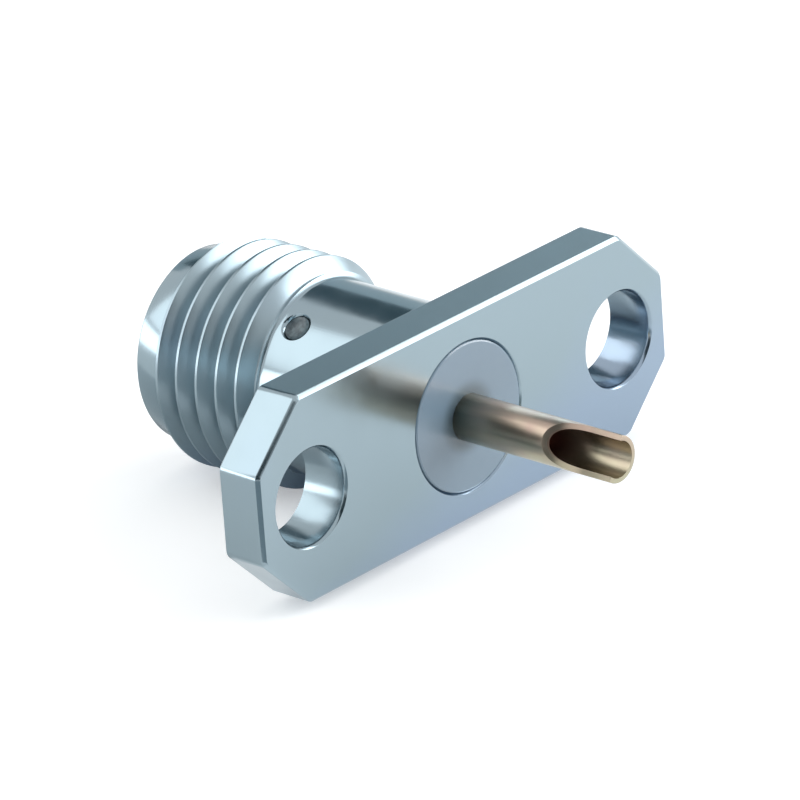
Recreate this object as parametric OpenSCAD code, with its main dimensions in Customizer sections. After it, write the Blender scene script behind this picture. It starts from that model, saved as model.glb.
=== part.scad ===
// Two-hole flange coaxial panel jack with a screw coupling end and a solder-cup tail.
// Millimetres. Origin: centre of the flange's rear face, on the connector's axis.
// +Y points to the mating end, -Y to the solder cup, X runs along the flange, Z is up.

/* [Flange] */
// Length of the flange along X
flange_length = 16.05; // [14:0.05:20]
// Height of the flange along Z
flange_height = 5.75; // [5.7:0.05:8]
// Thickness of the flange
flange_thickness = 1.4; // [1:0.05:2.5]
// Leg of each 45 degree corner cut
corner_cut = 1.66; // [0.5:0.01:2]
// Bevel round the rear face's rim
rear_bevel = 0.15; // [0.05:0.01:0.3]
// Edge break round the mating side's rim
front_bevel = 0.1; // [0.03:0.01:0.2]
// Distance between the two mounting holes
hole_spacing = 12.2; // [11:0.1:12.6]
// Diameter of the mounting holes
hole_d = 2.6; // [2:0.05:3]
// Countersink leg on each hole's rear rim
hole_rim = 0.07; // [0.03:0.01:0.15]

/* [Barrel] */
// Distance from the flange's rear face to the mating face
front_face_y = 9.4; // [9:0.05:11]
// Diameter of the plain neck behind the thread
neck_d = 5.3; // [5:0.05:5.35]
// Diameter of the smooth pilot ahead of the thread
pilot_d = 5.4; // [5.3:0.01:5.41]
// Major diameter of the coupling thread
thread_d = 6.3; // [6.28:0.01:6.4]
// Threads per inch of the coupling thread
threads_per_inch = 36; // [32:1:40]
// Where the thread's rear shoulder meets the neck
thread_start_y = 5; // [4.9:0.05:5.4]
// Slope of that shoulder, away from square
shoulder_angle = 30; // [10:1:45]
// Where the thread's front chamfer meets the pilot
thread_end_y = 8.55; // [8.2:0.05:8.9]
// Turn of the helix about the axis
thread_phase = 8; // [0:1:359]

/* [Interface] */
// Diameter of the socket recess at the mating end
recess_d = 4.6; // [4.5:0.01:4.7]
// Depth of that recess, down to the reference plane
recess_depth = 1.93; // [1.8:0.01:2.2]
// Diameter of the insulator
insulator_d = 4.1; // [4:0.01:4.2]
// Chamfer on the insulator bore's rear rim
insulator_rim = 0.05; // [0.02:0.01:0.1]

/* [Contact] */
// Diameter of the centre contact
contact_d = 1.27; // [1.2:0.01:1.35]
// Diameter of the socket that takes the mating pin
socket_d = 0.93; // [0.9:0.01:0.97]
// Depth of that socket
socket_depth = 2.2; // [1.9:0.05:2.25]
// Width of each slot between the socket's fingers
slot_width = 0.2; // [0.1:0.01:0.25]
// Length of the slots
slot_length = 1.8; // [1.2:0.05:2]
// Play between the fingers and the insulator
finger_play = 0.06; // [0.04:0.01:0.1]
// How far the tail stands out behind the flange
tail_length = 5.1; // [5.05:0.05:6]
// Diameter of the solder cup's bore
cup_d = 1.0; // [0.9:0.01:1.05]
// Depth of the solder cup's bore
cup_depth = 3.25; // [3.1:0.05:3.45]
// Length of the open scoop in the cup's wall
scoop_length = 2.1; // [1.7:0.05:2.6]
// Height of the scoop's floor above the axis
scoop_level = 0.14; // [0:0.01:0.2]
// Radius of the cutter that leaves the scoop's rounded inner end
scoop_round = 1.6; // [0.9:0.1:2.2]
// Direction the scoop faces, turned about the axis from +Z towards +X
scoop_turn = -62; // [-180:1:180]

/* [Potting] */
// Diameter of the potting hole through the neck
potting_d = 0.7; // [0.6:0.05:0.9]
// Distance of the potting hole from the flange's rear face
potting_y = 4.42; // [3:0.01:4.45]
// Direction of the potting hole, turned about the axis from +Z towards +X
potting_turn = -37; // [-180:1:180]
// How far the potting sits below the neck's surface
potting_sink = 0.12; // [0.05:0.01:0.3]
// Diameter of the contact's waist that the potting grips
waist_d = 0.95; // [0.94:0.01:1.1]
// Length of that waist
waist_length = 0.3; // [0.2:0.05:0.7]

/* [Hidden] */
$fn = 96;
pitch = 25.4 / threads_per_inch;
thread_depth = 0.6134 * pitch;
crest_flat = pitch / 8;
flank_angle = 30;
root_r = thread_d / 2 - thread_depth;
shoulder_rise = (thread_d - neck_d) / 2 * tan(shoulder_angle);
front_chamfer = (thread_d - pilot_d) / 2 * tan(flank_angle);
reference_y = front_face_y - recess_depth;
contact_face_y = reference_y - 0.1;
half_x = flange_length / 2;
half_z = flange_height / 2;
steps_per_turn = 36;

// Turns a shape drawn about Z so that it lies along +Y
module along_axis() rotate([-90, 0, 0]) children();

// Turns a shape about the connector's axis, from +Z towards +X
module turned(angle) rotate([0, angle, 0]) children();

// The flange's outline: a rectangle with its four corners cut at 45 degrees
module flange_outline() {
    polygon([
        [half_x, half_z - corner_cut], [half_x - corner_cut, half_z],
        [corner_cut - half_x, half_z], [-half_x, half_z - corner_cut],
        [-half_x, corner_cut - half_z], [corner_cut - half_x, -half_z],
        [half_x - corner_cut, -half_z], [half_x, corner_cut - half_z]]);
}

// Eight 45 degree wedges that bevel one rim of the flange, lying at height z
module rim_bevel(leg, z) {
    diagonal = (half_x + half_z - corner_cut) / sqrt(2);
    for (side = [[0, half_x], [90, half_z], [180, half_x], [270, half_z],
                 [45, diagonal], [135, diagonal], [225, diagonal], [315, diagonal]])
        rotate([0, 0, side[0]])
            translate([side[1], 0, z])
                rotate([0, 45, 0])
                    cube([leg * sqrt(2), 3 * flange_length, leg * sqrt(2)], center = true);
}

module flange_plate() {
    along_axis() difference() {
        linear_extrude(height = flange_thickness) flange_outline();
        rim_bevel(rear_bevel, 0);
        rim_bevel(front_bevel, flange_thickness);
    }
}

// One mounting hole with a small countersink on the rear side
module mounting_hole() {
    along_axis() {
        translate([0, 0, -1]) cylinder(d = hole_d, h = flange_thickness + 2);
        translate([0, 0, -hole_rim])
            cylinder(r1 = hole_d / 2 + 2 * hole_rim, r2 = hole_d / 2, h = 2 * hole_rim);
    }
}

// The barrel's outside: neck, thread blank and pilot in one turned profile
module barrel_blank() {
    along_axis() rotate_extrude() polygon([
        [0, flange_thickness / 2], [neck_d / 2, flange_thickness / 2],
        [neck_d / 2, thread_start_y],
        [thread_d / 2, thread_start_y + shoulder_rise],
        [thread_d / 2, thread_end_y - front_chamfer],
        [pilot_d / 2, thread_end_y],
        [pilot_d / 2, front_face_y - 0.1],
        [pilot_d / 2 - 0.1, front_face_y], [0, front_face_y]]);
}

// The V groove between the crests, swept as a right-hand helix past both ends of the thread
module thread_groove() {
    outer = thread_d / 2 + 0.05;
    half_root = (pitch - crest_flat) / 2 - thread_depth * tan(flank_angle);
    half_mouth = half_root + (outer - root_r) * tan(flank_angle);
    first_z = thread_start_y - 0.5 * pitch;
    steps = ceil((thread_end_y - thread_start_y + 0.9 * pitch) / pitch * steps_per_turn);
    section = [[outer, -half_mouth], [outer, half_mouth], [root_r, half_root], [root_r, -half_root]];
    along = [for (i = [0 : steps]) for (p = section)
        let (a = i * 360 / steps_per_turn)
        [p[0] * cos(a), p[0] * sin(a), first_z + pitch * i / steps_per_turn + p[1]]];
    sides = [for (i = [0 : steps - 1]) for (k = [0 : 3])
        let (a = 4 * i + k, b = 4 * i + (k + 1) % 4)
        each [[a, b, b + 4], [a, b + 4, a + 4]]];
    last = 4 * steps;
    rotate([0, 0, thread_phase])
        polyhedron(points = along,
                   faces = concat(sides, [[0, 2, 1], [0, 3, 2]],
                                  [[last, last + 1, last + 2], [last, last + 2, last + 3]]));
}

// Everything hollow in the barrel: insulator bore, socket recess and their rims
module barrel_bore() {
    along_axis() rotate_extrude() polygon([
        [0, -1], [insulator_d / 2 + insulator_rim, -1],
        [insulator_d / 2 + insulator_rim, 0], [insulator_d / 2, insulator_rim],
        [insulator_d / 2, reference_y], [recess_d / 2, reference_y],
        [recess_d / 2, front_face_y - 0.12],
        [recess_d / 2 + 0.12, front_face_y], [recess_d / 2 + 0.12, front_face_y + 1],
        [0, front_face_y + 1]]);
}

// A round rod from the axis outwards, for the potting hole and what fills it
module potting_rod(reach) {
    turned(potting_turn) translate([0, potting_y, 0]) cylinder(d = potting_d, h = reach);
}

// The barrel's outside with its thread cut
module threaded_barrel() {
    difference() {
        barrel_blank();
        along_axis() thread_groove();
    }
}

// Flange and barrel, machined from one bar
module body() {
    color([0.66, 0.71, 0.75]) difference() {
        union() {
            flange_plate();
            threaded_barrel();
        }
        barrel_bore();
        for (x = [-hole_spacing / 2, hole_spacing / 2]) translate([x, 0, 0]) mounting_hole();
        potting_rod(neck_d);
    }
}

// The insulator: flush with the flange's rear face, ending at the reference plane
module insulator() {
    color([0.80, 0.84, 0.87]) difference() {
        along_axis() rotate_extrude() polygon([
            [contact_d / 2, 0], [insulator_d / 2, 0], [insulator_d / 2, reference_y],
            [contact_d / 2 + finger_play, reference_y],
            [contact_d / 2 + finger_play, contact_face_y - socket_depth],
            [contact_d / 2, contact_face_y - socket_depth]]);
        potting_rod(neck_d);
    }
}

// The scoop that opens the solder cup: a straight cut with a rounded inner end
module scoop() {
    over = scoop_level + scoop_round - contact_d / 2;
    run = sqrt(scoop_round * scoop_round - over * over);
    turned(scoop_turn) {
        translate([-contact_d, -tail_length - 1, scoop_level])
            cube([2 * contact_d, 1 + scoop_length - run, contact_d]);
        translate([-contact_d, scoop_length - tail_length - run, scoop_level + scoop_round])
            rotate([0, 90, 0]) cylinder(r = scoop_round, h = 2 * contact_d);
    }
}

// Centre contact: slotted socket in front, waist for the potting, solder cup behind
module contact() {
    cone = cup_d / 2 * tan(30);
    color([0.83, 0.70, 0.42]) difference() {
        along_axis() rotate_extrude() polygon([
            [0, -tail_length], [contact_d / 2 - 0.03, -tail_length],
            [contact_d / 2, 0.03 - tail_length],
            [contact_d / 2, potting_y - waist_length / 2], [waist_d / 2, potting_y - waist_length / 2],
            [waist_d / 2, potting_y + waist_length / 2], [contact_d / 2, potting_y + waist_length / 2],
            [contact_d / 2, contact_face_y - 0.06], [contact_d / 2 - 0.06, contact_face_y],
            [0, contact_face_y]]);
        along_axis() {
            translate([0, 0, contact_face_y - socket_depth]) cylinder(d = socket_d, h = socket_depth + 1);
            translate([0, 0, -tail_length - 1]) cylinder(d = cup_d, h = 1 + cup_depth);
            translate([0, 0, cup_depth - tail_length]) cylinder(d1 = cup_d, d2 = 0, h = cone);
        }
        for (turn = [0, 90]) turned(turn + 45)
            translate([-slot_width / 2, contact_face_y - slot_length, -contact_d])
                cube([slot_width, slot_length + 1, 2 * contact_d]);
        scoop();
    }
}

// Potting: a plug in the neck's cross hole and the ring it leaves in the contact's waist
module potting() {
    color([0.33, 0.36, 0.38]) {
        difference() {
            intersection() {
                potting_rod(neck_d);
                along_axis() cylinder(d = neck_d - 2 * potting_sink, h = front_face_y);
            }
            along_axis() cylinder(d = contact_d, h = front_face_y);
        }
        along_axis() translate([0, 0, potting_y - waist_length / 2]) difference() {
            cylinder(d = contact_d, h = waist_length);
            translate([0, 0, -1]) cylinder(d = waist_d, h = waist_length + 2);
        }
    }
}

body();
insulator();
contact();
potting();
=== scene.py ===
"""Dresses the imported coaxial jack: the machined body with its thread, the insulating bead,
the plated centre contact and the resin plug, on a plain pale stage."""

import math

import bmesh
import bpy
from bpy.props import FloatProperty, FloatVectorProperty, IntProperty, PointerProperty
from mathutils import Matrix, Vector


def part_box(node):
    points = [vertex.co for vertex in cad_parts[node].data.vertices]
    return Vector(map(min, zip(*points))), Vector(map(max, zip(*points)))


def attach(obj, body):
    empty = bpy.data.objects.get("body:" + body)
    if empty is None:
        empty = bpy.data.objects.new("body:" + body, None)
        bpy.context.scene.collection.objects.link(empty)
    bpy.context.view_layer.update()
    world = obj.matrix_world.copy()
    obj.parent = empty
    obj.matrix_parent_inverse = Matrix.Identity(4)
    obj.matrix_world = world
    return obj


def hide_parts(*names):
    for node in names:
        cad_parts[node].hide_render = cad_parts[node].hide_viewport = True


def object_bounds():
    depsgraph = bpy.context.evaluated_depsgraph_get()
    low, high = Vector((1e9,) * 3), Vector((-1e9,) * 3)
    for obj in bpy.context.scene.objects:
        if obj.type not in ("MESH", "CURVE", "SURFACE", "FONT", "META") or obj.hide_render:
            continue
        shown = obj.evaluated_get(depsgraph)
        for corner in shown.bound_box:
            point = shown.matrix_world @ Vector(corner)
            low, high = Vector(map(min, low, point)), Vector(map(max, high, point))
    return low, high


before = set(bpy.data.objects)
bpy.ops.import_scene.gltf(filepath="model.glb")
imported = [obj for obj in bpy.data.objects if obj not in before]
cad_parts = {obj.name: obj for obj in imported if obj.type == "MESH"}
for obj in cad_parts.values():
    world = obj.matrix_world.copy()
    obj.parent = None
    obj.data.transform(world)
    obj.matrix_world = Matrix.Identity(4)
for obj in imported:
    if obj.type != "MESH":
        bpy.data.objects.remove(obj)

bl_info = {
    "name": "Coaxial Panel Jack",
    "version": (1, 0, 0),
    "blender": (4, 5, 0),
    "location": "3D View > Sidebar > Panel Jack",
    "description": "Builds a two-hole flange jack with a solder cup around its packed CAD frame",
    "category": "Object",
}

MM = 0.001
ROOT = "root"
CAD_LOW, CAD_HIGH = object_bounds()
BODY_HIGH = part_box("body")[1]
BEAD_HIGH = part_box("insulator")[1]
CONTACT_LOW, CONTACT_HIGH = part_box("contact")
# The thread has 36 crests to the inch, a groove of 60 degrees and the standard's depth.
PITCH = 25.4 * MM / 36
FLANK = math.radians(30)
THREAD_DEPTH = 0.6134 * PITCH
CUP_DRILL_POINT = math.radians(30)
# How far a cutter reaches past what it cuts.
PAST = 1.0 * MM
# Two points of a blank that are closer than this lie at one height.
LEVEL = 1e-7
# Facets round a full turn of the smaller shapes.
CONTACT_STEPS, SCOOP_STEPS = 96, 256
MOUNTING_HOLE_STEPS, CROSS_HOLE_STEPS, RESIN_STEPS = 128, 64, 48


def linear(hex_colour):
    """An sRGB hex value as linear RGBA."""
    def channel(start):
        level = int(hex_colour[start:start + 2], 16) / 255
        return level / 12.92 if level <= 0.04045 else ((level + 0.055) / 1.055) ** 2.4
    return (channel(0), channel(2), channel(4), 1.0)


def length(name, description, default):
    """A length property, stored in metres."""
    return FloatProperty(name=name, description=description, default=default, unit="LENGTH",
                         precision=5)


def angle(name, description, degrees):
    """An angle property, given in degrees."""
    return FloatProperty(name=name, description=description, default=math.radians(degrees),
                         subtype="ANGLE")


def colour(name, description, hex_colour):
    """A colour property, given as an sRGB hex value."""
    return FloatVectorProperty(name=name, description=description, default=linear(hex_colour),
                               size=4, min=0.0, max=1.0, subtype="COLOR")


class JackBodySizes(bpy.types.PropertyGroup):
    """Sizes of the machined body."""
    flange_thickness: length("Flange thickness", "From the rear face to the mating side", 1.4 * MM)
    flange_half_height: length("Flange half height", "From the axis to the flange's long edges",
                               2.875 * MM)
    corner_cut: length("Corner cut", "Leg of each 45 degree corner cut", 1.66 * MM)
    corner_round: length("Corner round", "Rounding that tumbling leaves on the outline's corners",
                         0.12 * MM)
    rear_bevel: length("Rear bevel", "Bevel round the rear face's rim", 0.1 * MM)
    front_bevel: length("Front bevel", "Edge break round the mating side's rim", 0.1 * MM)
    edge_break: length("Edge break", "Tiny rounding that deburring leaves on every edge",
                       0.015 * MM)
    hole_spacing: length("Hole spacing", "Between the two mounting holes", 12.2 * MM)
    hole_radius: length("Hole radius", "Radius of the mounting holes", 1.3 * MM)
    hole_rim: length("Hole rim", "Countersink leg on each hole's rear rim", 0.07 * MM)
    bead_rim: length("Bead rim", "Chamfer on the bore's rear rim", 0.06 * MM)
    neck_radius: length("Neck radius", "Radius of the plain neck behind the thread", 2.65 * MM)
    neck_fillet: length("Neck fillet", "Radius the tool leaves where the neck meets the shoulder",
                        0.14 * MM)
    pilot_radius: length("Pilot radius", "Radius of the smooth pilot ahead of the thread", 2.7 * MM)
    pilot_edge: length("Pilot edge", "Rounding of the pilot's rim", 0.1 * MM)
    thread_radius: length("Thread radius", "Radius over the thread's crests", 3.15 * MM)
    thread_start: length("Thread start", "Where the rear shoulder meets the neck", 5.0 * MM)
    thread_end: length("Thread end", "Where the front chamfer meets the pilot", 8.55 * MM)
    thread_turn: angle("Thread turn", "Turn of the helix about the axis", 8)
    recess_radius: length("Recess radius", "Radius of the socket recess", 2.3 * MM)
    recess_depth: length("Recess depth", "From the mating face to the reference plane", 1.93 * MM)
    recess_lip: length("Recess lip", "Lead-in chamfer on the recess's mouth", 0.12 * MM)
    bore_radius: length("Bore radius", "Radius of the bore that holds the bead", 2.05 * MM)
    cross_hole_radius: length("Cross hole radius", "Radius of the resin hole in the neck",
                              0.35 * MM)
    cross_hole_rim: length("Cross hole rim", "Polished countersink round the resin hole", 0.1 * MM)
    cross_hole_place: length("Cross hole place", "From the rear face to the resin hole", 4.42 * MM)
    cross_hole_turn: angle("Cross hole turn", "From +Z towards +X", -37)
    resin_sink: length("Resin sink", "From the neck's surface down to the resin", 0.12 * MM)
    steps: IntProperty(name="Steps", description="Facets round a full turn", default=192, min=48)


class JackContactSizes(bpy.types.PropertyGroup):
    """Sizes of the plated centre contact."""
    radius: length("Radius", "Radius of the contact", 0.635 * MM)
    cup_radius: length("Cup radius", "Radius of the solder cup's bore", 0.5 * MM)
    cup_depth: length("Cup depth", "Depth of the solder cup's bore", 3.25 * MM)
    scoop_length: length("Scoop length", "Length of the opening in the cup's wall", 2.1 * MM)
    scoop_level: length("Scoop level", "Height of the scoop's floor above the axis", 0.14 * MM)
    scoop_round: length("Scoop round", "Radius of the cutter that leaves the scoop's inner end",
                        1.6 * MM)
    scoop_turn: angle("Scoop turn", "From +Z towards +X", -62)
    socket_radius: length("Socket radius", "Radius of the hole for the plug's pin", 0.465 * MM)
    socket_depth: length("Socket depth", "Depth of that hole", 2.2 * MM)
    slot_width: length("Slot width", "Width of the slots between the fingers", 0.2 * MM)
    slot_length: length("Slot length", "Length of those slots", 1.8 * MM)
    finger_play: length("Finger play", "Room round the fingers inside the bead", 0.06 * MM)


class JackFinishes(bpy.types.PropertyGroup):
    """Colours of the finishes."""
    steel: colour("Steel", "Passivated stainless steel", "95A6AE")
    # The clouds of this colour are the film's own; its bluer low side is a painted shade.
    steel_film_and_shade: colour("Steel tint", "Where the passive film is thicker and bluer", "95A6B8")
    bead: colour("Bead", "PTFE in its bore", "798E9E")
    bead_shade: colour("Bead shade", "Denser patches in the PTFE", "74899A")
    # A painted shade: the bead darkens in the corner round the contact.
    bead_root_shade: colour("Bead root shade", "Dirt in the corner between bead and contact", "4F5F68")
    gold: colour("Gold", "Thin hard gold over nickel", "B1AD94")
    # Its random patches are thin plate; its pinker top side is a painted reflection.
    gold_pink_and_reflection: colour("Gold shade", "Where the plate is thin and the copper alloy shows pink",
                       "B29D90")
    # A painted shade: the contact darkens towards its root at the bead.
    gold_root_shade: colour("Gold root shade", "Flux and heat stain at the contact's root", "6A6F66")
    cup_stain: colour("Cup stain", "Oxide deep in the solder cup, which plating hardly reaches",
                      "7F5A4E")
    resin: colour("Resin", "Cured epoxy", "5C6D73")
    resin_shade: colour("Resin shade", "Filler that settled in the epoxy", "33434A")


class JackStage(bpy.types.PropertyGroup):
    """Camera and lamps."""
    azimuth: angle("Azimuth", "0 looks along +Y", -46.98)
    elevation: angle("Elevation", "Above the horizon", 23.07)
    roll: angle("Roll", "Turn about the line of sight", -4.15)
    distance: length("Distance", "From the aim point to the camera", 191.6 * MM)
    aim_x: length("Aim X", "Point that the camera looks at", -1.02 * MM)
    aim_y: length("Aim Y", "Point that the camera looks at", 1.44 * MM)
    aim_z: length("Aim Z", "Point that the camera looks at", 0.51 * MM)
    focal_length: FloatProperty(name="Focal length", description="For a 36 mm sensor",
                                default=332.0, unit="CAMERA")
    world_level: FloatProperty(name="World level", description="Plain light from all round",
                               default=0.88)
    floor_glow: FloatProperty(name="Floor glow", default=0.28,
                              description="How much whiter the floor looks than its paper")
    key_level: FloatProperty(name="Key level", default=3.3,
                             description="What the key softbox adds to the studio")
    rim_level: FloatProperty(name="Rim level", default=1.0,
                             description="What the rim softbox adds to the studio")
    low_level: FloatProperty(name="Low level", default=2.0,
                             description="What the low softbox adds to the studio")


def add_node(tree, kind, inputs, **options):
    """Adds a node: options are its attributes, and inputs gives a value or a socket to link."""
    added = tree.nodes.new(kind)
    for name, value in options.items():
        setattr(added, name, value)
    for name, value in inputs.items():
        if isinstance(value, bpy.types.NodeSocket):
            tree.links.new(value, added.inputs[name])
        else:
            added.inputs[name].default_value = value
    return added


# ---------------------------------------------------------------- modelling


def turned(points, steps):
    """A solid of revolution about the Y axis, from a closed outline of (radius, y) points."""
    bm = bmesh.new()
    corners = [bm.verts.new((r, y, 0)) for r, y in points]
    edges = [bm.edges.new((a, b)) for a, b in zip(corners, corners[1:] + corners[:1])
             if max(a.co.x, b.co.x) > 0]
    bmesh.ops.spin(bm, geom=corners + edges, cent=(0, 0, 0), axis=(0, 1, 0), dvec=(0, 0, 0),
                   angle=math.tau, steps=steps, use_merge=True, use_duplicate=False)
    bmesh.ops.remove_doubles(bm, verts=bm.verts, dist=1e-9)
    bmesh.ops.recalc_face_normals(bm, faces=bm.faces)
    return bm


def bevel(bm, edges, leg, segments):
    """Bevels edges, with the leg measured from the edge."""
    bmesh.ops.bevel(bm, geom=edges, offset=leg, offset_type="OFFSET", affect="EDGES",
                    segments=segments, profile=0.5, material=-1, clamp_overlap=True)


def turn_about_axis(bm, turn):
    """Turns a shape about the Y axis, from +Z towards +X."""
    bmesh.ops.rotate(bm, cent=(0, 0, 0), matrix=Matrix.Rotation(turn, 3, "Y"), verts=bm.verts)


def into_neck(bm, size):
    """Swings a shape that lies along +Y until it points out through the neck's cross hole."""
    swing = Matrix.Rotation(size.cross_hole_turn, 4, "Y") @ Matrix.Rotation(math.pi / 2, 4, "X")
    bmesh.ops.transform(bm, matrix=swing, verts=bm.verts)
    bmesh.ops.translate(bm, vec=(0, size.cross_hole_place, 0), verts=bm.verts)


def block(low, high):
    """A box between two corners."""
    low, high = Vector(low), Vector(high)
    bm = bmesh.new()
    bmesh.ops.create_cube(bm, size=1.0)
    bmesh.ops.scale(bm, vec=high - low, verts=bm.verts)
    bmesh.ops.translate(bm, vec=(low + high) / 2, verts=bm.verts)
    return bm


def as_object(bm, name):
    """Puts a bmesh in a new object at the origin."""
    mesh = bpy.data.meshes.new(name)
    bm.to_mesh(mesh)
    bm.free()
    thing = bpy.data.objects.new(name, mesh)
    bpy.context.scene.collection.objects.link(thing)
    return thing


def combine(target, bm, operation):
    """Joins a bmesh's solid to an object, or cuts it away."""
    tool = as_object(bm, "tool")
    step = target.modifiers.new("step", "BOOLEAN")
    step.operation, step.solver, step.object = operation, "MANIFOLD", tool
    bpy.context.view_layer.update()
    graph = bpy.context.evaluated_depsgraph_get()
    shaped = bpy.data.meshes.new_from_object(target.evaluated_get(graph))
    target.modifiers.clear()
    rough, target.data = target.data, shaped
    shaped.name = target.name
    bpy.data.meshes.remove(rough)
    bpy.data.objects.remove(tool)


def dress(piece, material, node, smooth_under=math.radians(28)):
    """Gives a finished piece its material and its place in the frame. Edges that turn less than
    smooth_under are shaded round, and flat faces stay flat beside them."""
    piece.data.materials.clear()
    piece.data.materials.append(material)
    piece.data.shade_smooth()
    piece.data.set_sharp_from_angle(angle=smooth_under)
    flatten = piece.modifiers.new("flat_faces_stay_flat", "WEIGHTED_NORMAL")
    flatten.mode, flatten.weight, flatten.keep_sharp = "FACE_AREA", 50, True
    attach(piece, ROOT)
    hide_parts(node)


def flange_blank(size):
    """The flange: an outline with cut corners, extruded, bevelled and deburred."""
    half_x, half_z, cut = BODY_HIGH.x, size.flange_half_height, size.corner_cut
    outline = [(half_x, half_z - cut), (half_x - cut, half_z),
               (cut - half_x, half_z), (-half_x, half_z - cut),
               (-half_x, cut - half_z), (cut - half_x, -half_z),
               (half_x - cut, -half_z), (half_x, cut - half_z)]
    bm = bmesh.new()
    rear = bm.faces.new([bm.verts.new((x, 0, z)) for x, z in outline])
    raised = bmesh.ops.extrude_face_region(bm, geom=[rear])["geom"]
    bmesh.ops.translate(bm, vec=(0, size.flange_thickness, 0),
                        verts=[v for v in raised if isinstance(v, bmesh.types.BMVert)])
    bmesh.ops.recalc_face_normals(bm, faces=bm.faces)
    bevel(bm, [e for e in bm.edges if abs(e.verts[0].co.y - e.verts[1].co.y) > LEVEL],
          size.corner_round, segments=4)
    for y, leg in ((0, size.rear_bevel), (size.flange_thickness, size.front_bevel)):
        bevel(bm, [e for e in bm.edges if all(abs(v.co.y - y) < LEVEL for v in e.verts)],
              leg, segments=1)
    # The segments of the rounded corners turn less than 20 degrees, and are left alone.
    bevel(bm, [e for e in bm.edges if e.calc_face_angle(0) > math.radians(20)],
          size.edge_break, segments=2)
    return bm


def thread_groove(size):
    """The groove between the crests: its section spun about the axis while it advances."""
    crest_break, root_round = size.edge_break, 0.015 * MM
    root_radius, mouth_radius = size.thread_radius - THREAD_DEPTH, size.thread_radius - crest_break
    # A crest flat is an eighth of the pitch, which leaves the groove's half width 7/16 of it.
    half_root = PITCH * 7 / 16 - THREAD_DEPTH * math.tan(FLANK)
    half_mouth = half_root + (mouth_radius - root_radius) * math.tan(FLANK)
    outside, half_outside = size.thread_radius + 0.06 * MM, half_mouth + crest_break * 1.2
    half = [(root_radius, 0.6 * half_root), (root_radius + root_round, half_root + root_round / 4),
            (mouth_radius, half_mouth), (size.thread_radius, half_outside), (outside, half_outside)]
    # The groove starts half a pitch before the thread and runs out past its end.
    first = size.thread_start - PITCH / 2
    turns = (size.thread_end - size.thread_start) / PITCH + 0.9
    steps = round(turns * size.steps / 2)
    bm = bmesh.new()
    ring = [bm.verts.new((r, first + y, 0)) for r, y in half]
    ring += [bm.verts.new((r, first - y, 0)) for r, y in reversed(half)]
    section = bm.faces.new(ring)
    bmesh.ops.spin(bm, geom=[section], cent=(0, 0, 0), axis=(0, 1, 0),
                   dvec=(0, PITCH * turns / steps, 0), angle=math.tau * turns, steps=steps,
                   use_merge=False, use_duplicate=False)
    bmesh.ops.recalc_face_normals(bm, faces=bm.faces)
    turn_about_axis(bm, size.thread_turn)
    return bm


def barrel_blank(size):
    """The neck, the thread's crests and the pilot, before the thread is cut."""
    front, edge, tip = BODY_HIGH.y, size.edge_break, size.pilot_edge
    rise = (size.thread_radius - size.neck_radius) * math.tan(FLANK)
    fall = (size.thread_radius - size.pilot_radius) * math.tan(FLANK)
    turn_in = math.pi / 2 - FLANK
    tangent = size.neck_fillet * math.tan(turn_in / 2)
    fillet = [(size.neck_radius + size.neck_fillet * (1 - math.cos(part * turn_in)),
               size.thread_start - tangent + size.neck_fillet * math.sin(part * turn_in))
              for part in (0, 0.25, 0.5, 0.75, 1)]
    middle = size.flange_thickness / 2
    return turned([
        (0, middle), (size.neck_radius, middle), *fillet,
        (size.thread_radius, size.thread_start + rise),
        (size.thread_radius, size.thread_end - fall),
        (size.pilot_radius, size.thread_end),
        (size.pilot_radius, front - tip - edge), (size.pilot_radius - edge / 2, front - tip),
        (size.pilot_radius - tip, front - edge / 2), (size.pilot_radius - tip - edge, front),
        (0, front)], size.steps)


def bore_cutter(size):
    """What bores the body: the bead's bore with its rear chamfer, and the recess with its lip."""
    front, reference = BODY_HIGH.y, BODY_HIGH.y - size.recess_depth
    rim, lip = size.bead_rim, size.recess_lip
    return turned([
        (0, -PAST), (size.bore_radius + 2 * rim, -PAST), (size.bore_radius + rim, 0),
        (size.bore_radius, 1.4 * rim), (size.bore_radius, reference),
        (size.recess_radius, reference), (size.recess_radius, front - lip),
        (size.recess_radius + lip, front), (size.recess_radius + lip, front + PAST),
        (0, front + PAST)], size.steps)


def mounting_hole_drill(size, side):
    """The drill and countersink for a mounting hole, at -X or +X."""
    hole, rim, far = size.hole_radius, size.hole_rim, size.flange_thickness + PAST
    drill = turned([
        (0, -PAST), (hole + rim, -PAST), (hole + rim, 0), (hole + rim * 0.3, rim * 0.7),
        (hole, rim * 1.6), (hole, far), (0, far)], MOUNTING_HOLE_STEPS)
    bmesh.ops.translate(drill, vec=(side * size.hole_spacing / 2, 0, 0), verts=drill.verts)
    return drill


def cross_hole_drill(size):
    """The drill and countersink for the resin's hole, from inside the bead to above the neck."""
    hole, rim, inside = size.cross_hole_radius, size.cross_hole_rim, size.bore_radius / 2
    drill = turned([
        (0, inside), (hole, inside), (hole, size.neck_radius - 1.6 * rim),
        (hole + 0.3 * rim, size.neck_radius - 0.7 * rim), (hole + rim, size.neck_radius),
        (hole + 2 * rim, size.neck_radius + rim / 2), (0, size.thread_radius)], CROSS_HOLE_STEPS)
    into_neck(drill, size)
    return drill


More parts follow.
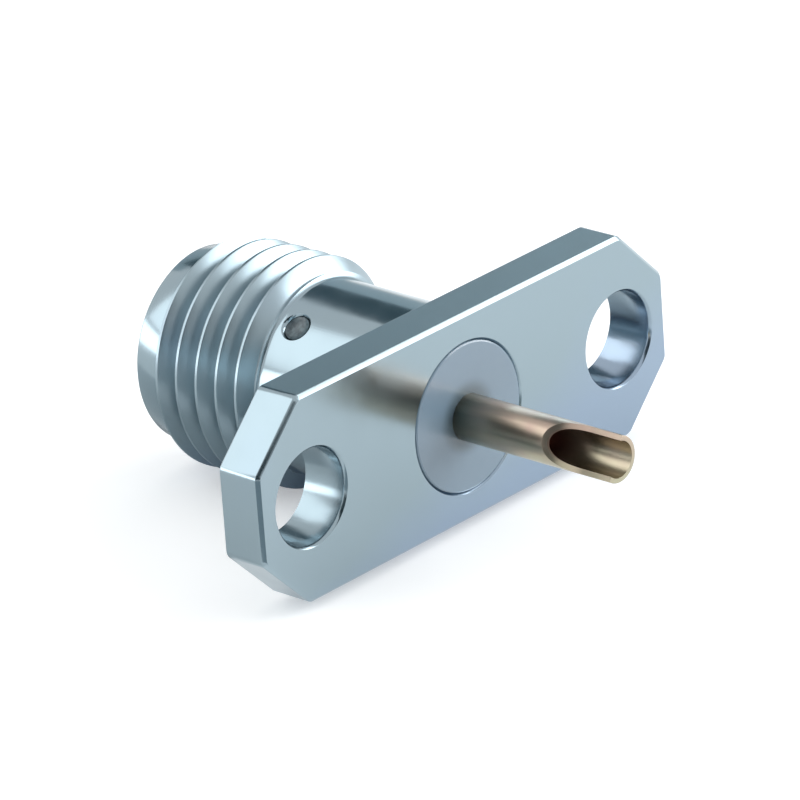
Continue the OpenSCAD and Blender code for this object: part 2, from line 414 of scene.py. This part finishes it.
def scoop(size):
    """What opens the cup's wall: a straight cut, and the round cutter that ends it."""
    low, radius, cutter = CONTACT_LOW.y, size.radius, size.scoop_round
    over = size.scoop_level + cutter - radius
    end = low + size.scoop_length - math.sqrt(cutter * cutter - over * over)
    straight = block((-2 * radius, low - PAST, size.scoop_level), (2 * radius, end, 2 * radius))
    disc = bmesh.new()
    bmesh.ops.create_cone(disc, cap_ends=True, segments=SCOOP_STEPS, radius1=cutter,
                          radius2=cutter, depth=4 * radius)
    turn_about_axis(disc, math.pi / 2)
    bmesh.ops.translate(disc, vec=(0, end, size.scoop_level + cutter), verts=disc.verts)
    for bm in (straight, disc):
        turn_about_axis(bm, size.scoop_turn)
    return straight, disc


# ---------------------------------------------------------------- finishes


def turning_place(tree):
    """Where a point is on the work: its place, its distance from the axis, its y, and the last two
    as one vector, which is the same all round a ring."""
    place = add_node(tree, "ShaderNodeTexCoord", {}).outputs["Object"]
    x, y, z = add_node(tree, "ShaderNodeSeparateXYZ", {"Vector": place}).outputs
    across = add_node(tree, "ShaderNodeCombineXYZ", {"X": x, "Z": z}).outputs[0]
    radius = add_node(tree, "ShaderNodeVectorMath", {
        0: across}, operation="LENGTH").outputs["Value"]
    rings = add_node(tree, "ShaderNodeCombineXYZ", {"X": radius, "Y": y}).outputs[0]
    return place, radius, y, rings


def finished(name, shader_inputs, build):
    """A material: build adds what its shader needs to the tree, and returns more inputs for it."""
    material = bpy.data.materials.new(name)
    material.use_nodes = True
    tree = material.node_tree
    tree.nodes.clear()
    shader = add_node(tree, "ShaderNodeBsdfPrincipled", {**shader_inputs, **build(tree)})
    add_node(tree, "ShaderNodeOutputMaterial", {"Surface": shader.outputs[0]})
    return material


def passivated_stainless(look, size):
    """Type 303 stainless steel, turned, faced and drilled, then passivated: a cool grey with soft
    reflections. The tool leaves fine rings round the barrel and on the flange's faces, which smear
    what they reflect. The neck and the pilot had a finishing cut and are the glossiest, the flange
    is satin, and the thread is the dullest."""
    bright_cut, faced, threaded = 0.16, 0.2, 0.31

    def build(tree):
        place, _, y, rings = turning_place(tree)
        # Rings 0.06 mm apart: the tool's feed was finer, and would not show.
        feed = add_node(tree, "ShaderNodeTexNoise", {
            "Vector": rings, "Scale": 1 / (0.06 * MM), "Detail": 1.0})
        bump = add_node(tree, "ShaderNodeBump", {
            "Height": feed.outputs[0], "Distance": 0.0004 * MM})
        from_thread = add_node(tree, "ShaderNodeMath", {
            0: y, 1: (size.thread_start + size.thread_end) / 2}, operation="SUBTRACT")
        off_thread = add_node(tree, "ShaderNodeMath", {
            0: from_thread.outputs[0]}, operation="ABSOLUTE")
        on_thread = add_node(tree, "ShaderNodeMath", {
            0: off_thread.outputs[0], 1: (size.thread_end - size.thread_start) / 2},
            operation="LESS_THAN")
        on_barrel = add_node(tree, "ShaderNodeMath", {
            0: y, 1: size.flange_thickness}, operation="GREATER_THAN")
        turned_gloss = add_node(tree, "ShaderNodeMix", {
            0: on_thread.outputs[0], 2: bright_cut, 3: threaded})
        satin = add_node(tree, "ShaderNodeMix", {
            0: on_barrel.outputs[0], 2: faced, 3: turned_gloss.outputs[0]})
        # The tumbling that deburrs the body varies its gloss over patches of about 0.8 mm.
        tumbled = add_node(tree, "ShaderNodeTexNoise", {"Vector": place, "Scale": 1 / (0.8 * MM)})
        uneven = add_node(tree, "ShaderNodeMapRange", {
            "Value": tumbled.outputs[0], "From Min": 0.3, "From Max": 0.7,
            "To Min": -0.02, "To Max": 0.03})
        rough = add_node(tree, "ShaderNodeMath", {
            0: satin.outputs[0], 1: uneven.outputs[0]}, operation="ADD")
        # The passive film varies in clouds 3 mm across; a painted shade turns the low side bluer.
        low_side = add_node(tree, "ShaderNodeVectorMath", {
            0: place, 1: (0.25, 0, -0.97)}, operation="DOT_PRODUCT")
        clouds = add_node(tree, "ShaderNodeTexNoise", {"Vector": place, "Scale": 1 / (3 * MM)})
        low_side_painted_shade = add_node(tree, "ShaderNodeMapRange", {
            "Value": low_side.outputs["Value"], "From Min": 0.5 * MM, "From Max": 3 * MM,
            "To Min": -0.6, "To Max": 0.7})
        film = add_node(tree, "ShaderNodeMath", {
            0: clouds.outputs[0], 1: low_side_painted_shade.outputs[0]}, operation="ADD", use_clamp=True)
        tone = add_node(tree, "ShaderNodeMix", {
            0: film.outputs[0], 6: look.steel, 7: look.steel_film_and_shade}, data_type="RGBA")
        along_rings = add_node(tree, "ShaderNodeTangent", {}, direction_type="RADIAL", axis="Y")
        return {"Base Color": tone.outputs[2], "Roughness": rough.outputs[0],
                "Normal": bump.outputs[0], "Tangent": along_rings.outputs[0]}
    return finished("passivated_stainless", {
        "Metallic": 1.0, "Anisotropic": 0.5, "Anisotropic Rotation": 0.25}, build)


def turned_ptfe(look, contact_radius):
    """PTFE turned from rod: waxy and a little translucent, so that light enters it and its edges
    glow softly. The parting tool leaves rings on its faces, and a painted shade darkens it round
    the contact."""
    def build(tree):
        place, radius, _, rings = turning_place(tree)
        # Rings 0.08 mm apart, as the parting tool leaves them.
        feed = add_node(tree, "ShaderNodeTexNoise", {
            "Vector": rings, "Scale": 1 / (0.08 * MM), "Detail": 1.0})
        bump = add_node(tree, "ShaderNodeBump", {
            "Height": feed.outputs[0], "Distance": 0.0002 * MM})
        # Denser patches of about 0.5 mm, from the way the powder was pressed.
        waxy = add_node(tree, "ShaderNodeTexNoise", {"Vector": place, "Scale": 1 / (0.5 * MM)})
        rough = add_node(tree, "ShaderNodeMapRange", {
            "Value": waxy.outputs[0], "From Min": 0.3, "From Max": 0.7,
            "To Min": 0.22, "To Max": 0.26})
        tone = add_node(tree, "ShaderNodeMix", {
            0: waxy.outputs[0], 6: look.bead, 7: look.bead_shade}, data_type="RGBA")
        # The painted shade fades out over 0.5 mm from the contact.
        near_contact_shade = add_node(tree, "ShaderNodeMapRange", {
            "Value": radius, "From Min": contact_radius, "From Max": contact_radius + 0.5 * MM,
            "To Min": 0.9, "To Max": 0.0}, interpolation_type="SMOOTHSTEP")
        shaded_bead = add_node(tree, "ShaderNodeMix", {
            0: near_contact_shade.outputs[0], 6: tone.outputs[2], 7: look.bead_root_shade}, data_type="RGBA")
        return {"Base Color": shaded_bead.outputs[2], "Roughness": rough.outputs[0],
                "Normal": bump.outputs[0]}
    return finished("turned_ptfe", {
        "IOR": 1.38, "Specular IOR Level": 0.5, "Subsurface Weight": 0.3,
        "Subsurface Radius": (1.0, 1.0, 1.0), "Subsurface Scale": 0.25 * MM,
        "Coat Weight": 1.0, "Coat Roughness": 0.22, "Coat IOR": 1.5}, build)


def gold_plate(look, size):
    """Thin hard gold over nickel on a turned copper alloy: pale and warm, bright along the rod,
    with a painted shade at the root and a painted reflection that turns its top pinker, and dark
    with oxide deep in the cup, where the bath hardly reached."""
    def build(tree):
        place, radius, y, rings = turning_place(tree)
        # Turning marks 0.05 mm apart, which the plate follows.
        feed = add_node(tree, "ShaderNodeTexNoise", {
            "Vector": rings, "Scale": 1 / (0.05 * MM), "Detail": 1.0})
        bump = add_node(tree, "ShaderNodeBump", {
            "Height": feed.outputs[0], "Distance": 0.0002 * MM})
        # The plate's thickness varies over about 0.6 mm.
        patches = add_node(tree, "ShaderNodeTexNoise", {"Vector": place, "Scale": 1 / (0.6 * MM)})
        # Its top side is painted pinker than its bottom: a painted reflection.
        z = add_node(tree, "ShaderNodeSeparateXYZ", {"Vector": place}).outputs["Z"]
        away = add_node(tree, "ShaderNodeMapRange", {
            "Value": z, "From Min": -size.radius, "From Max": size.radius,
            "To Min": -0.4, "To Max": 0.4})
        thin = add_node(tree, "ShaderNodeMath", {
            0: patches.outputs[0], 1: away.outputs[0]}, operation="ADD", use_clamp=True)
        rough = add_node(tree, "ShaderNodeMapRange", {
            "Value": patches.outputs[0], "From Min": 0.3, "From Max": 0.7,
            "To Min": 0.28, "To Max": 0.34})
        tone = add_node(tree, "ShaderNodeMix", {
            0: thin.outputs[0], 6: look.gold, 7: look.gold_pink_and_reflection}, data_type="RGBA")
        # The painted shade fades out 1.3 mm from the bead.
        root = add_node(tree, "ShaderNodeMapRange", {
            "Value": y, "From Min": -1.3 * MM, "From Max": -0.1 * MM,
            "To Min": 0.0, "To Max": 0.9}, interpolation_type="SMOOTHSTEP")
        shaded_gold = add_node(tree, "ShaderNodeMix", {
            0: root.outputs[0], 6: tone.outputs[2], 7: look.gold_root_shade}, data_type="RGBA")
        # Inside the cup's bore, the oxide darkens over 1.4 mm, from the middle of the scoop to a
        # little behind its end. It is part metal and part scale.
        in_bore = add_node(tree, "ShaderNodeMath", {
            0: radius, 1: size.cup_radius + 0.03 * MM}, operation="LESS_THAN")
        tip = CONTACT_LOW.y
        deep = add_node(tree, "ShaderNodeMapRange", {
            "Value": y, "From Min": tip + 1.2 * MM, "From Max": tip + 2.6 * MM,
            "To Min": 0.0, "To Max": 1.0}, interpolation_type="SMOOTHSTEP")
        in_tail = add_node(tree, "ShaderNodeMath", {0: y, 1: 0.0}, operation="LESS_THAN")
        oxide = add_node(tree, "ShaderNodeMath", {
            0: in_bore.outputs[0], 1: deep.outputs[0]}, operation="MULTIPLY")
        cup = add_node(tree, "ShaderNodeMath", {
            0: oxide.outputs[0], 1: in_tail.outputs[0]}, operation="MULTIPLY")
        final = add_node(tree, "ShaderNodeMix", {
            0: cup.outputs[0], 6: shaded_gold.outputs[2], 7: look.cup_stain}, data_type="RGBA")
        bare = add_node(tree, "ShaderNodeMapRange", {
            "Value": cup.outputs[0], "To Min": 1.0, "To Max": 0.6})
        return {"Base Color": final.outputs[2], "Roughness": rough.outputs[0],
                "Normal": bump.outputs[0], "Metallic": bare.outputs[0]}
    return finished("gold_plate", {}, build)


def cured_epoxy(look):
    """Epoxy run into the cross hole and cured: grey, with a glossy and slightly pitted skin."""
    def build(tree):
        place = add_node(tree, "ShaderNodeTexCoord", {}).outputs["Object"]
        # Pits and filler grains of about 0.15 mm.
        pits = add_node(tree, "ShaderNodeTexNoise", {
            "Vector": place, "Scale": 1 / (0.15 * MM), "Detail": 3.0})
        bump = add_node(tree, "ShaderNodeBump", {
            "Height": pits.outputs[0], "Distance": 0.012 * MM})
        settled = add_node(tree, "ShaderNodeMapRange", {
            "Value": pits.outputs[0], "From Min": 0.35, "From Max": 0.65})
        tone = add_node(tree, "ShaderNodeMix", {
            0: settled.outputs[0], 6: look.resin_shade, 7: look.resin}, data_type="RGBA")
        return {"Base Color": tone.outputs[2], "Normal": bump.outputs[0]}
    return finished("cured_epoxy", {"Roughness": 0.3, "IOR": 1.55}, build)


def seen_plainly(tree):
    """1 for what the camera, a reflection or glass sees, and 0 for light that falls on things."""
    path = add_node(tree, "ShaderNodeLightPath", {}).outputs
    seen = add_node(tree, "ShaderNodeMath", {
        0: path["Is Camera Ray"], 1: path["Is Glossy Ray"]}, operation="MAXIMUM")
    seen = add_node(tree, "ShaderNodeMath", {
        0: seen.outputs[0], 1: path["Is Transmission Ray"]}, operation="MAXIMUM")
    return seen.outputs[0]


def pale_paper(glow):
    """The floor: matt white paper. It keeps the object's shadow, and looks whiter than it is, both
    directly and in a reflection."""
    def build(tree):
        place = add_node(tree, "ShaderNodeTexCoord", {}).outputs["Object"]
        # Pulp clouds of about 4 mm.
        pulp = add_node(tree, "ShaderNodeTexNoise", {"Vector": place, "Scale": 1 / (4 * MM)})
        tone = add_node(tree, "ShaderNodeMix", {
            0: pulp.outputs[0], 6: linear("F3F4F5"), 7: linear("F0F2F3")}, data_type="RGBA")
        level = add_node(tree, "ShaderNodeMath", {
            0: seen_plainly(tree), 1: glow}, operation="MULTIPLY")
        return {"Base Color": tone.outputs[2], "Emission Strength": level.outputs[0]}
    return finished("pale_paper", {"Roughness": 0.9, "Emission Color": linear("FFFFFF")}, build)


def matt_card(name, hex_colour):
    """Studio cloth on a frame, or dyed card: matt all over, so that metal has something plain and
    darker than the room to show."""
    return finished(name, {"Roughness": 1.0, "Base Color": linear(hex_colour)}, lambda tree: {})


# ---------------------------------------------------------------- pieces


class JACK_OT_body(bpy.types.Operator):
    """Machine the body: flange, neck, threaded barrel, bores and holes"""
    bl_idname = "jack.body"
    bl_label = "Body"

    def execute(self, context):
        size = context.scene.jack_body
        body = as_object(barrel_blank(size), "machined_body")
        combine(body, thread_groove(size), "DIFFERENCE")
        combine(body, flange_blank(size), "UNION")
        for cutter in (bore_cutter(size), mounting_hole_drill(size, -1),
                       mounting_hole_drill(size, 1), cross_hole_drill(size)):
            combine(body, cutter, "DIFFERENCE")
        dress(body, passivated_stainless(context.scene.jack_finishes, size), "body")
        return {"FINISHED"}


class JACK_OT_bead(bpy.types.Operator):
    """Turn the insulating bead that fills the bore"""
    bl_idname = "jack.bead"
    bl_label = "Insulating bead"

    def execute(self, context):
        size, rod = context.scene.jack_body, context.scene.jack_contact
        # Turning leaves the bead's rims rounded by 0.05 mm.
        inner, outer, corner = rod.radius, size.bore_radius, 0.05 * MM
        play = inner + rod.finger_play
        socket_bottom = CONTACT_HIGH.y - rod.socket_depth
        bead = as_object(turned([
            (inner, 0), (outer - corner, 0), (outer - 0.3 * corner, 0.5 * corner),
            (outer, 1.6 * corner), (outer, BEAD_HIGH.y - corner), (outer - corner, BEAD_HIGH.y),
            (play, BEAD_HIGH.y), (play, socket_bottom), (inner, socket_bottom)],
            size.steps), "insulating_bead")
        dress(bead, turned_ptfe(context.scene.jack_finishes, rod.radius),
              "insulator")
        return {"FINISHED"}


class JACK_OT_contact(bpy.types.Operator):
    """Turn the centre contact, bore its cup and socket, and cut the scoop and slots"""
    bl_idname = "jack.contact"
    bl_label = "Centre contact"

    def execute(self, context):
        size = context.scene.jack_contact
        low, high, radius = CONTACT_LOW.y, CONTACT_HIGH.y, size.radius
        # The tail's rim is broken by 0.03 mm, and the socket's nose by 0.06 mm to guide a pin in.
        edge, nose, cup_bottom = 0.03 * MM, 0.06 * MM, CONTACT_LOW.y + size.cup_depth
        contact = as_object(turned([
            (0, low), (radius - edge, low), (radius - edge * 0.3, low + edge * 0.3),
            (radius, low + edge), (radius, high - nose),
            (radius - nose * 0.3, high - nose * 0.3), (radius - nose, high), (0, high)],
            CONTACT_STEPS), "centre_contact")
        cup = turned([
            (0, low - PAST), (size.cup_radius, low - PAST), (size.cup_radius, cup_bottom),
            (0, cup_bottom + size.cup_radius * math.tan(CUP_DRILL_POINT))], CONTACT_STEPS)
        socket = turned([
            (0, high - size.socket_depth), (size.socket_radius, high - size.socket_depth),
            (size.socket_radius, high + PAST), (0, high + PAST)], CONTACT_STEPS)
        slots = [block((-size.slot_width / 2, high - size.slot_length, -2 * radius),
                       (size.slot_width / 2, high + PAST, 2 * radius)) for _ in range(2)]
        for slot, degrees in zip(slots, (45, 135)):
            turn_about_axis(slot, math.radians(degrees))
        for cut in (cup, socket, *slots, *scoop(size)):
            combine(contact, cut, "DIFFERENCE")
        soften = contact.modifiers.new("deburred", "BEVEL")
        soften.width, soften.segments, soften.limit_method = 0.02 * MM, 2, "ANGLE"
        soften.angle_limit, soften.use_clamp_overlap = math.radians(40), True
        dress(contact, gold_plate(context.scene.jack_finishes, size), "contact")
        return {"FINISHED"}


class JACK_OT_resin(bpy.types.Operator):
    """Cast the resin plug in the neck's cross hole"""
    bl_idname = "jack.resin"
    bl_label = "Resin plug"

    def execute(self, context):
        size, rod = context.scene.jack_body, context.scene.jack_contact
        hole, top = size.cross_hole_radius, size.neck_radius - size.resin_sink
        # The resin crept 0.04 mm up the hole's wall, and shrank to a dish 0.05 mm deep as it cured.
        climb, dish = 0.04 * MM, 0.05 * MM
        plug = turned([
            (0, rod.radius), (hole, rod.radius), (hole, top + climb), (hole * 0.88, top),
            (hole * 0.6, top - dish * 0.7), (hole * 0.3, top - dish), (0, top - dish)],
            RESIN_STEPS)
        into_neck(plug, size)
        dress(as_object(plug, "resin_plug"), cured_epoxy(context.scene.jack_finishes),
              "potting", math.radians(60))
        return {"FINISHED"}


# ---------------------------------------------------------------- stage


def facing(place, target=(0, 0, 0)):
    """A matrix that stands at a place and looks down its own -Z at the target."""
    place = Vector(place)
    turn = (Vector(target) - place).to_track_quat("-Z", "Y")
    return Matrix.Translation(place) @ turn.to_matrix().to_4x4()


def card(name, width, height, matrix, material):
    """A flat piece of the stage."""
    bm = bmesh.new()
    bmesh.ops.create_grid(bm, x_segments=1, y_segments=1, size=0.5)
    bmesh.ops.scale(bm, vec=(width, height, 1), verts=bm.verts)
    made = as_object(bm, name)
    made.matrix_world = matrix
    made.data.materials.append(material)
    return made


def softbox(name, width, height, place, level):
    """A rectangular lamp that faces the object, and adds its level to the room's in what metal
    shows."""
    lamp = bpy.data.lights.new(name, "AREA")
    lamp.shape, lamp.size, lamp.size_y = "RECTANGLE", width, height
    lamp.energy = 4 * level * width * height
    made = bpy.data.objects.new(name, lamp)
    bpy.context.scene.collection.objects.link(made)
    made.matrix_world = facing(place)
    made.visible_camera = False


class JACK_OT_stage(bpy.types.Operator):
    """Set up the pale floor, the soft light and the camera"""
    bl_idname = "jack.stage"
    bl_label = "Stage"

    def execute(self, context):
        scene, stage = context.scene, context.scene.jack_stage
        card("floor", 4.0, 4.0, Matrix.Translation((0, 0, CAD_LOW.z)),
             pale_paper(stage.floor_glow))

        world = bpy.data.worlds.new("plain_studio")
        world.use_nodes = True
        scene.world = world
        tree = world.node_tree
        tree.nodes.clear()
        level = add_node(tree, "ShaderNodeMix", {
            0: seen_plainly(tree), 2: stage.world_level, 3: 1.0})
        background = add_node(tree, "ShaderNodeBackground", {
            "Color": linear("FFFFFF"), "Strength": level.outputs[0]})
        add_node(tree, "ShaderNodeOutputWorld", {"Surface": background.outputs[0]})

        softbox("key_softbox", 0.34, 0.26, (0.29, -0.203, 0.14), stage.key_level)
        softbox("rim_softbox", 0.24, 0.3, (-0.183, 0.238, 0.25), stage.rim_level)
        softbox("low_softbox", 0.66, 0.11, (-0.305, 0.285, 0.06), stage.low_level)
        # Flags shape what the metal shows. Each has a name, a cloth, a width, a height and a place.
        for name, hex_colour, width, height, place in (
                ("camera_flag", "26363B", 0.26, 0.24, (-0.23, -0.217, 0.135)),
                ("bevel_flag", "26363B", 0.12, 0.12, (-0.12, -0.3, 0.233)),
                ("far_flag_high", "42565E", 0.14, 0.17, (0.19, 0.25, 0.24)),
                ("far_flag_low", "ADBDC3", 0.4, 0.24, (0.29, 0.27, 0.144))):
            flag = card(name, width, height, facing(place), matt_card(name + "_cloth", hex_colour))
            flag.visible_camera = False
        # Cards that lie on the floor by the object, and that only its polished sides show. Each has
        # a name, a paper, a width, a depth and a place.
        for name, hex_colour, width, depth, x, y in (
                ("low_card_front", "8E9CA3", 0.1, 0.1, -0.0565, -0.052),
                ("low_card_back", "F0F3F4", 0.1, 0.12, -0.0585, 0.0585),
                ("low_card_under", "CBD2D5", 0.018, 0.04, 0.0007, 0.023)):
            lying = card(name, width, depth, Matrix.Translation((x, y, CAD_LOW.z + 0.01 * MM)),
                         matt_card(name + "_paper", hex_colour))
            lying.visible_camera = lying.visible_diffuse = lying.visible_shadow = False

        lens = bpy.data.cameras.new("camera")
        lens.sensor_width, lens.lens = 36.0, stage.focal_length
        lens.clip_start, lens.clip_end = 0.01, 20.0
        camera = bpy.data.objects.new("camera", lens)
        scene.collection.objects.link(camera)
        back = Vector((math.sin(stage.azimuth) * math.cos(stage.elevation),
                       -math.cos(stage.azimuth) * math.cos(stage.elevation),
                       math.sin(stage.elevation)))
        aim_point = Vector((stage.aim_x, stage.aim_y, stage.aim_z))
        camera.matrix_world = (facing(aim_point + back * stage.distance, aim_point)
                               @ Matrix.Rotation(stage.roll, 4, "Z"))
        scene.camera = camera
        scene.view_settings.view_transform = "Standard"
        return {"FINISHED"}


class JACK_PT_panel(bpy.types.Panel):
    """The jack's pieces and stage"""
    bl_label = "Panel Jack"
    bl_idname = "JACK_PT_panel"
    bl_space_type = "VIEW_3D"
    bl_region_type = "UI"
    bl_category = "Panel Jack"

    def draw(self, context):
        for operator in OPERATORS:
            self.layout.operator(operator.bl_idname)
        for group in GROUPS:
            settings = getattr(context.scene, group)
            column = self.layout.column(align=True)
            for name in settings.bl_rna.properties.keys():
                if name not in ("rna_type", "name"):
                    column.prop(settings, name)


OPERATORS = (JACK_OT_stage, JACK_OT_body, JACK_OT_bead, JACK_OT_contact, JACK_OT_resin)
GROUPS = {"jack_body": JackBodySizes, "jack_contact": JackContactSizes,
          "jack_finishes": JackFinishes, "jack_stage": JackStage}


def register():
    for kind in (*GROUPS.values(), *OPERATORS, JACK_PT_panel):
        bpy.utils.register_class(kind)
    for name, kind in GROUPS.items():
        setattr(bpy.types.Scene, name, PointerProperty(type=kind))


def unregister():
    for name in GROUPS:
        delattr(bpy.types.Scene, name)
    for kind in reversed((*GROUPS.values(), *OPERATORS, JACK_PT_panel)):
        bpy.utils.unregister_class(kind)


def main():
    """Registers the add-on, and makes the stage and every piece."""
    register()
    bpy.ops.jack.stage()
    bpy.ops.jack.body()
    bpy.ops.jack.bead()
    bpy.ops.jack.contact()
    bpy.ops.jack.resin()


if __name__ == "__main__":
    main()
